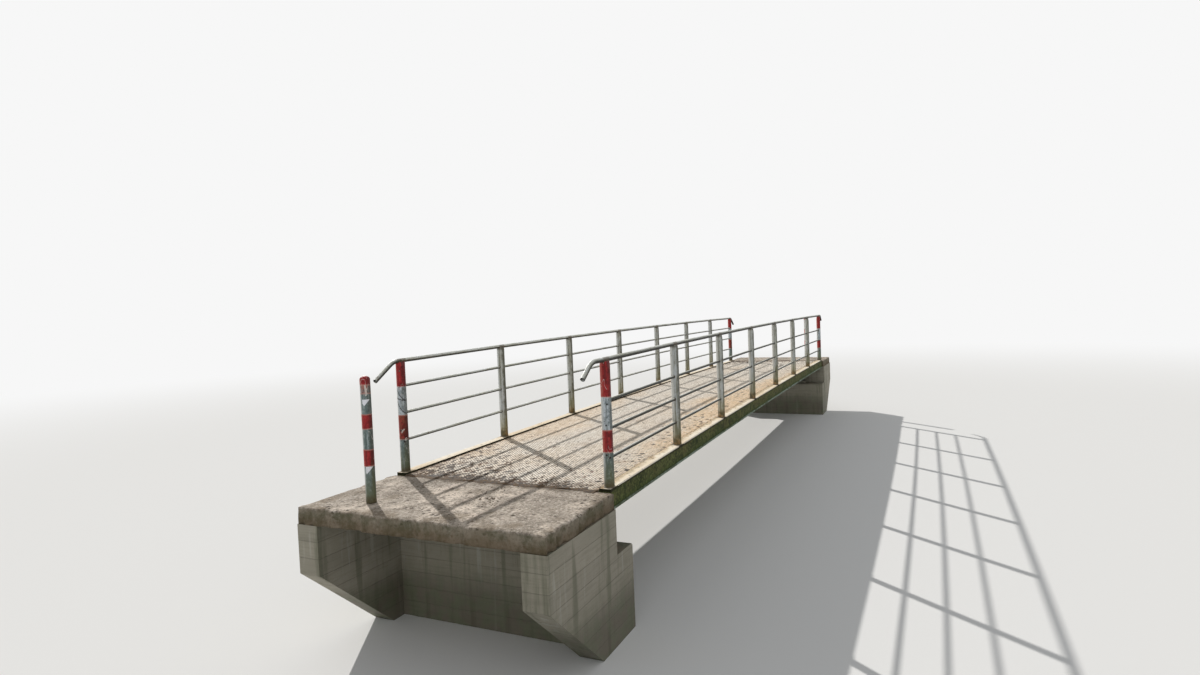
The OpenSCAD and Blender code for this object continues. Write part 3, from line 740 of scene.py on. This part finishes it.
def railing_welds(side, heights):
    """Beads where each rail meets its posts, at each post's foot and under the handrail."""
    verts, faces = [], []
    y0 = side * POST_Y
    rail_bead, foot_bead, top_bead = 0.0034, 0.0045, 0.0036
    foot_lift, saddle = 0.0015, 0.009
    rest = HAND_Z - HAND_R + saddle
    half = math.sqrt(HAND_R ** 2 - (HAND_Z - rest) ** 2)

    def on_post(x0, way, y, z):
        return Vector((x0 + way * math.sqrt(POST_R ** 2 - y * y), y0 + y, z))

    for i in range(BAYS + 1):
        x0, base = station(i), level(i)
        for n, h in enumerate(heights):
            for way in (-1, 1):
                if (i == 0 and way < 0) or (i == BAYS and way > 0):
                    continue
                loop = [on_post(x0, way, RAIL_R * math.cos(a), base + h + RAIL_R * math.sin(a))
                        for a in turns(16)]
                bead(verts, faces, loop, rail_bead, rough=0.35, seed=i * 7 + n)
        loop = [Vector((x0 + POST_R * math.cos(a), y0 + POST_R * math.sin(a), base + foot_lift))
                for a in turns(32)]
        bead(verts, faces, loop, foot_bead, rough=0.4, seed=i * 7 + 3)
        loop = []
        for way in (1, -1):
            for k in range(9):
                y = way * half * (1 - 2 * k / 8)
                drop = math.sqrt(max(HAND_R ** 2 - y * y, 0))
                loop.append(on_post(x0, way, y, base + HAND_Z - drop))
        bead(verts, faces, loop, top_bead, rough=0.35, seed=i * 7 + 5)
    word = "left" if side > 0 else "right"
    piece("weld_beads_" + word, verts, faces, RAIL_MAT)


railing_welds(1, LEFT_RAILS)
railing_welds(-1, RIGHT_RAILS)

# worn approach slabs, broken along their edges, in the place of the plain solids


def worn_slab(end):
    """Approach slab with hollows in its top, crumbled rims and rough sides down to its underside."""
    word = "near" if end < 0 else "far"
    low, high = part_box("approach_slab_" + word)
    cols, rows = 88, 168
    seed = Vector((3.1 * end, 7.7, 1.3))
    verts, faces = [], []

    def nibble(p):
        """How far the slab's rim is broken back there."""
        mean, wave, chip = 0.010, 0.011, 0.030
        big = fractal(p * 3.1 + seed, 4, 2.1)
        return mean + wave * big + chip * max(0.0, fractal(p * 11.0 - seed, 3))

    inner, outer = (low.x, high.x) if end > 0 else (high.x, low.x)
    length, width = abs(outer - inner), high.y - low.y
    band = 0.060
    # depths of the skin, the hollows, the pits, the slumped rim and the edge worn at the joint
    skin, hollow, pit, slump, dip = 0.0015, 0.0045, 0.0016, 0.016, 0.010
    # shares of the length and of the width within which the rims are broken back
    at_joint, at_front, at_sides = 0.03, 0.1, 0.06
    for j in range(rows + 1):
        v = j / rows
        y = low.y + width * v
        for i in range(cols + 1):
            u = i / cols
            x = inner + (outer - inner) * u
            p = Vector((x, y, 0))
            rim = min((1 - u) * length, v * width, (1 - v) * width)
            z = high.z - skin
            z -= hollow * (0.5 + 0.5 * fractal(p * 1.7 + seed, 4))
            z -= pit * abs(fractal(p * 14.0 + seed, 3))
            fall = max(0.0, 1 - rim / band)
            z -= slump * fall ** 2.2 * (0.7 + 0.6 * noise.noise(p * 9 + seed))
            z -= dip * max(0.0, 1 - u * length / 0.05) ** 2
            bite_y = nibble(Vector((x, 9, 2 + v)))
            if u > 0.5:
                px = x - end * nibble(Vector((0, y, 4))) * max(0.0, (u - (1 - at_front)) / at_front)
            else:
                px = x + end * 0.004 * max(0.0, (at_joint - u) / at_joint)
            py = y
            if v < at_sides:
                py = y + bite_y * (1 - v / at_sides)
            if v > 1 - at_sides:
                py = y - bite_y * (1 - (1 - v) / at_sides)
            verts.append((px, py, min(z, high.z - 0.0002)))

    def at(i, j):
        return j * (cols + 1) + i

    for j in range(rows):
        for i in range(cols):
            quad = (at(i, j), at(i + 1, j), at(i + 1, j + 1), at(i, j + 1))
            faces.append(quad if end > 0 else quad[::-1])
    ring = [at(i, 0) for i in range(cols)] + [at(cols, j) for j in range(rows)]
    ring += [at(i, rows) for i in range(cols, 0, -1)] + [at(0, j) for j in range(rows, 0, -1)]
    count = len(ring)
    layers = [ring]
    depth = 5
    for d in range(1, depth + 1):
        layer = []
        for r in ring:
            x, y, z = verts[r]
            t = d / depth
            z2 = z + (low.z - z) * t
            p = Vector((x, y, z2))
            push = 0.004 * fractal(p * 12 + seed, 3)
            edge_x = abs(x - outer) < band
            edge_y = min(abs(y - low.y), abs(y - high.y)) < band
            nx = x + end * (push if edge_x else 0)
            ny = y + (push if edge_y else 0) * (1 if y > 0 else -1)
            if edge_x:
                nx = min(max(nx + end * 0.006 * t, min(inner, outer)), max(inner, outer))
            if edge_y:
                ny = min(max(ny, low.y), high.y)
            verts.append((nx, ny, z2))
            layer.append(len(verts) - 1)
        layers.append(layer)
    for a, b in zip(layers, layers[1:]):
        for k in range(count):
            quad = (a[k], b[k], b[(k + 1) % count], a[(k + 1) % count])
            faces.append(quad if end > 0 else quad[::-1])
    faces.append(tuple(layers[-1][::-1] if end > 0 else layers[-1]))
    o = piece("worn_slab_" + word, verts, faces, SLAB_MAT)
    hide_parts("approach_slab_" + word)


worn_slab(-1)
worn_slab(1)

# crumbs of soil on the deck and in the joints


def crumbs(name, places, material, seed):
    """Small flattened lumps, each an irregular stone with six sides."""
    rnd = random.Random(seed)
    verts, faces = [], []
    for x, y, z, size in places:
        start = len(verts)
        turn = rnd.uniform(0, math.tau)
        long = size * rnd.uniform(0.8, 1.5)
        wide = size * rnd.uniform(0.5, 0.9)
        tall = size * rnd.uniform(0.25, 0.5)
        for spread, up in ((1.0, -0.15), (0.82, 0.55)):
            for a in turns(6):
                r = spread * rnd.uniform(0.8, 1.1)
                dx, dy = r * long * math.cos(a), r * wide * math.sin(a)
                verts.append((x + dx * math.cos(turn) - dy * math.sin(turn),
                              y + dx * math.sin(turn) + dy * math.cos(turn), z + up * tall))
        verts.append((x, y, z + tall))
        for k in range(6):
            j = (k + 1) % 6
            faces.append((start + k, start + j, start + 6 + j, start + 6 + k))
            faces.append((start + 6 + k, start + 6 + j, start + 12))
    piece(name, verts, faces, material)


def deck_places():
    """Grains along the margins and scattered over the deck, coarser ones near the joints."""
    rnd = random.Random(11)
    bed, beside_margin, margin_share = 0.015, 1.040, 0.55
    reach, heap_middle, last = 6.33, 6.400, 6.37
    out = []
    for _ in range(1500):
        x = rnd.uniform(-reach, reach)
        if rnd.random() < margin_share:
            y = rnd.choice((-1, 1)) * (beside_margin - abs(rnd.gauss(0, 0.05)))
        else:
            y = rnd.uniform(-1.0, 1.0)
        out.append((x, y, margin_at(x) - bed, rnd.uniform(0.0020, 0.0060)))
    for _ in range(1500):
        end = rnd.choice((-1, 1))
        x = end * (heap_middle - abs(rnd.gauss(0, 0.16)))
        y = rnd.uniform(-1.03, 1.03)
        heap = fractal(Vector((x * 2.0, y * 2.0, 8.0)), 3)
        if abs(x) < last and heap > -0.05:
            out.append((x, y, margin_at(x) - bed, rnd.uniform(0.003, 0.014) * (0.6 + max(0.0, heap))))
    return out


def slab_places():
    """Grains and small stones on the approach slabs, more of them towards the joints."""
    rnd = random.Random(23)
    start, length, half_width, bed = 6.42, 1.10, 1.15, 0.0055
    out = []
    for _ in range(2600):
        end = rnd.choice((-1, 1))
        x = end * (start + rnd.random() ** 1.5 * length)
        y = rnd.uniform(-half_width, half_width)
        heap = fractal(Vector((x * 1.7, y * 1.7, 2.0)), 3)
        if heap > -0.10:
            out.append((x, y, DECK - bed, rnd.uniform(0.003, 0.010) * (0.7 + max(0.0, heap))))
    return out


crumbs("deck_grit", deck_places(), GRIT_MAT, 5)
crumbs("slab_grit", slab_places(), GRIT_MAT, 9)


def joint_fill(end):
    """Soil packed in the joint and spilt over both of its sides, in an uneven ridge."""
    verts, faces = [], []
    steps_y, steps_x = 260, 16
    half_width, rim_depth, bed, ridge = 1.041, 0.008, 0.0035, 0.0085

    def spill(y, least, mean, spread, waves, row):
        """How far the soil reaches from the joint to one side."""
        return max(least, mean + spread * fractal(Vector((y * waves, row, end)), 4))

    for j in range(steps_y + 1):
        y = -half_width + 2 * half_width * j / steps_y
        x0 = JOINT_X - spill(y, least=0.010, mean=0.040, spread=0.075, waves=1.9, row=3.0)
        x1 = JOINT_X + spill(y, least=0.014, mean=0.050, spread=0.085, waves=2.3, row=9.0)
        for i in range(steps_x + 1):
            t = i / steps_x
            x = end * (x0 + (x1 - x0) * t)
            p = Vector((x, y, 2.0))
            hump = math.sin(math.pi * t) ** 0.7
            lumps = 0.5 + 0.7 * fractal(p * 16, 4)
            top = DECK - bed + ridge * hump * max(0.0, lumps)
            verts.append((x, y, top if 0 < i < steps_x and 0 < j < steps_y else DECK - rim_depth))
    for j in range(steps_y):
        for i in range(steps_x):
            a = j * (steps_x + 1) + i
            quad = (a, a + 1, a + steps_x + 2, a + steps_x + 1)
            faces.append(quad if end > 0 else quad[::-1])
    name = "joint_soil_near" if end < 0 else "joint_soil_far"
    piece(name, verts, faces, GRIT_MAT)


joint_fill(-1)
joint_fill(1)

# fixings: old screws in the end posts, bolts and stiffeners at the bearings


def screw(verts, faces, centre, out, radius, tall, sides=12):
    """A domed screw head whose rim sits on a curved face."""
    out = out.normalized()
    flat = out.orthogonal().normalized()
    up = out.cross(flat)
    start = len(verts)
    rings = ((1.0, -0.25), (1.0, 0.35), (0.78, 0.80), (0.40, 1.0))
    for spread, high in rings:
        for a in turns(sides):
            verts.append(centre + spoke(flat, up, a) * radius * spread + out * tall * high)
    verts.append(centre + out * tall * 0.9)
    for r in range(len(rings) - 1):
        for k in range(sides):
            a = start + r * sides + k
            b = start + r * sides + (k + 1) % sides
            faces.append((a, b, b + sides, a + sides))
    last = start + (len(rings) - 1) * sides
    for k in range(sides):
        faces.append((last + k, last + (k + 1) % sides, start + len(rings) * sides))


def end_post_screws():
    """Old screws up and down each end post, on the side seen from the path."""
    verts, faces = [], []
    near_aim, far_aim = -0.5, 0.55
    for x_end, y_side, heights in ((-1, -1, (0.283, 0.262, 0.720, 0.540)), (-1, 1, (0.410, 0.300)),
                                   (1, -1, (0.300, 0.690)), (1, 1, (0.300, 0.690))):
        for n, h in enumerate(heights):
            turn = (-0.35, 0.30, 0.10, -0.22)[n]
            a = math.atan2(-y_side * far_aim if x_end > 0 else near_aim, x_end) + turn
            out = Vector((math.cos(a), math.sin(a), 0))
            centre = Vector((x_end * HALF_SPAN, y_side * POST_Y, MARGIN + h)) + out * POST_R
            screw(verts, faces, centre, out, radius=0.0095 if n < 2 else 0.0075, tall=0.004)
    piece("end_post_screws", verts, faces, HOLE_MAT)


end_post_screws()


def hex_bolt(bm, x, y, z, out, radius, tall):
    """A hexagon head with a washer, pointing along out."""
    turn = Vector((0, 0, 1)).rotation_difference(Vector(out)).to_matrix().to_4x4()
    washer, thin = radius * 1.55, tall * 0.25
    for r, d, lift, sides in ((washer, thin, 0.0, 20), (radius, tall, thin, 6)):
        place = Matrix.Translation((x, y, z)) @ turn @ Matrix.Translation((0, 0, lift + d / 2))
        bmesh.ops.create_cone(bm, cap_ends=True, segments=sides, radius1=r, radius2=r * 0.94,
                              depth=d, matrix=place)


def plate(bm, low, high, bevel=0.0015):
    """A steel plate with eased edges."""
    size = Vector(high) - Vector(low)
    place = Matrix.Translation((Vector(low) + Vector(high)) / 2) @ Matrix.Diagonal((*size, 1))
    made = bmesh.ops.create_cube(bm, size=1.0, matrix=place)
    edges = {e for v in made["verts"] for e in v.link_edges}
    bmesh.ops.bevel(bm, geom=list(edges), offset=bevel, segments=1, affect="EDGES")


def beam_x(i):
    """Place of cross beam i: under its post, or a little further in at both ends."""
    return station(i) + (0.06 if i == 0 else -0.06 if i == BAYS else 0.0)


def stiffeners():
    """Web stiffeners beside each cross beam and over the bearings."""
    bm = bmesh.new()
    half_thick, inset, apart = 0.005, 0.004, 0.05
    for side in (-1, 1):
        for i in range(BAYS + 1):
            x = beam_x(i)
            top = level(i) - EDGE_H - FLANGE_T
            foot = level(i) - EDGE_H - GIRDER_D + FLANGE_T
            y0 = side * (GIRDER_Y + WEB_T / 2)
            y1 = side * (GIRDER_Y + FLANGE_W / 2 - inset)
            for place in {0: (x, x - apart), BAYS: (x, x + apart)}.get(i, (x,)):
                plate(bm, (place - half_thick, min(y0, y1), foot), (place + half_thick, max(y0, y1), top))
    from_bmesh("girder_stiffeners", bm, GIRDER_MAT)


stiffeners()


def bearing_bolts():
    """Holding-down bolts through the bottom flanges, and bolts through the webs into each channel."""
    bm = bmesh.new()
    off_web, half_gap, half_rise = 0.052, 0.020, 0.045
    flange_top = MARGIN - EDGE_H - GIRDER_D + FLANGE_T
    for end in (-1, 1):
        for side in (-1, 1):
            for way in (-1, 1):
                y = side * GIRDER_Y + way * off_web
                hex_bolt(bm, end * BEARING_X, y, flange_top, out=(0, 0, 1), radius=0.013, tall=0.014)
    for i in range(BAYS + 1):
        middle = level(i) - EDGE_H - GIRDER_D / 2
        for side in (-1, 1):
            y = side * (GIRDER_Y + WEB_T / 2)
            for dx in (-half_gap, half_gap):
                for dz in (-half_rise, half_rise):
                    hex_bolt(bm, beam_x(i) + dx, y, middle + dz, out=(0, side, 0), radius=0.010, tall=0.010)
    from_bmesh("girder_bolts", bm, FIXING_MAT)


bearing_bolts()

# floor, light and camera

BACKDROP = (0.93, 0.93, 0.93, 1)


def studio_floor():
    """Pale floor that fades to white far away and keeps the bridge's shadow."""
    mesh = bpy.data.meshes.new("studio_floor")
    bm = bmesh.new()
    bmesh.ops.create_circle(bm, cap_ends=True, segments=96, radius=160)
    bm.to_mesh(mesh)
    bm.free()
    mat = bpy.data.materials.new("studio_floor")
    g = Graph(mat)
    pale = g.feed(g.add("ShaderNodeBsdfDiffuse"), Color=(0.80, 0.80, 0.79, 1))
    white = g.feed(g.add("ShaderNodeEmission"), Color=BACKDROP)
    place = g.add("ShaderNodeTexCoord").outputs["Object"]
    far = g.add("ShaderNodeVectorMath", place, operation="LENGTH")
    fade_start, fade_end = 11.0, 34.0
    fade = g.fit(far.outputs["Value"], fade_start, fade_end)
    seen = g.add("ShaderNodeLightPath").outputs
    g.show("ShaderNodeOutputMaterial", g.times(fade, seen["Is Camera Ray"]), pale, white)
    mesh.materials.append(mat)
    o = placed("studio_floor", mesh)


def studio_sky(strength, colour):
    """Even sky light; the camera, mirrors and glass see the backdrop's white."""
    world = bpy.data.worlds.new("studio")
    bpy.context.scene.world = world
    g = Graph(world)
    light = g.feed(g.add("ShaderNodeBackground"), Color=colour, Strength=strength)
    white = g.feed(g.add("ShaderNodeBackground"), Color=BACKDROP)
    seen = g.add("ShaderNodeLightPath").outputs
    plain = g.larger(seen["Is Camera Ray"], seen["Is Glossy Ray"])
    plain = g.larger(plain, seen["Is Transmission Ray"])
    g.show("ShaderNodeOutputWorld", plain, light, white)


def sun(name, toward, strength, spread, colour):
    """A distant lamp in the direction toward; a wider spread, in degrees, softens its shadows."""
    lamp = bpy.data.lights.new(name, "SUN")
    lamp.energy = strength
    lamp.angle = math.radians(spread)
    lamp.color = colour
    placed(name, lamp).rotation_euler = Vector(toward).to_track_quat("Z", "Y").to_euler()


def photo_camera(place, angles, focal):
    """The photograph's own view: angles are yaw, pitch and roll, focal is in pixels of its width."""
    frame_width, sensor = 1200, 36.0
    yaw, pitch, roll = (math.radians(a) for a in angles)
    ahead = Vector((math.cos(yaw) * math.cos(pitch), math.sin(yaw) * math.cos(pitch), -math.sin(pitch)))
    level_right = Vector((math.sin(yaw), -math.cos(yaw), 0))
    level_up = level_right.cross(ahead)
    right = math.cos(roll) * level_right + math.sin(roll) * level_up
    up = -math.sin(roll) * level_right + math.cos(roll) * level_up
    camera = bpy.data.cameras.new("photo_view")
    camera.sensor_fit = "HORIZONTAL"
    camera.sensor_width = sensor
    camera.lens = focal / frame_width * sensor
    camera.clip_end = 500
    o = placed("photo_view", camera)
    o.matrix_world = Matrix.Translation(place) @ Matrix((right, up, -ahead)).transposed().to_4x4()
    bpy.context.scene.camera = o


studio_floor()
studio_sky(strength=0.38, colour=(0.97, 0.985, 1.0, 1))
sun("key_light", toward=(0.55, 0.68, 0.48), strength=3.6, spread=0.6, colour=(1.0, 0.97, 0.93))
sun("fill_light", toward=(-0.80, -0.45, 0.50), strength=0.40, spread=60, colour=(0.94, 0.97, 1.0))
photo_camera(place=(-11.772, -3.650, 2.873), angles=(25.1745, 2.5497, -2.3277), focal=708)
bpy.context.scene.view_settings.view_transform = "Standard"
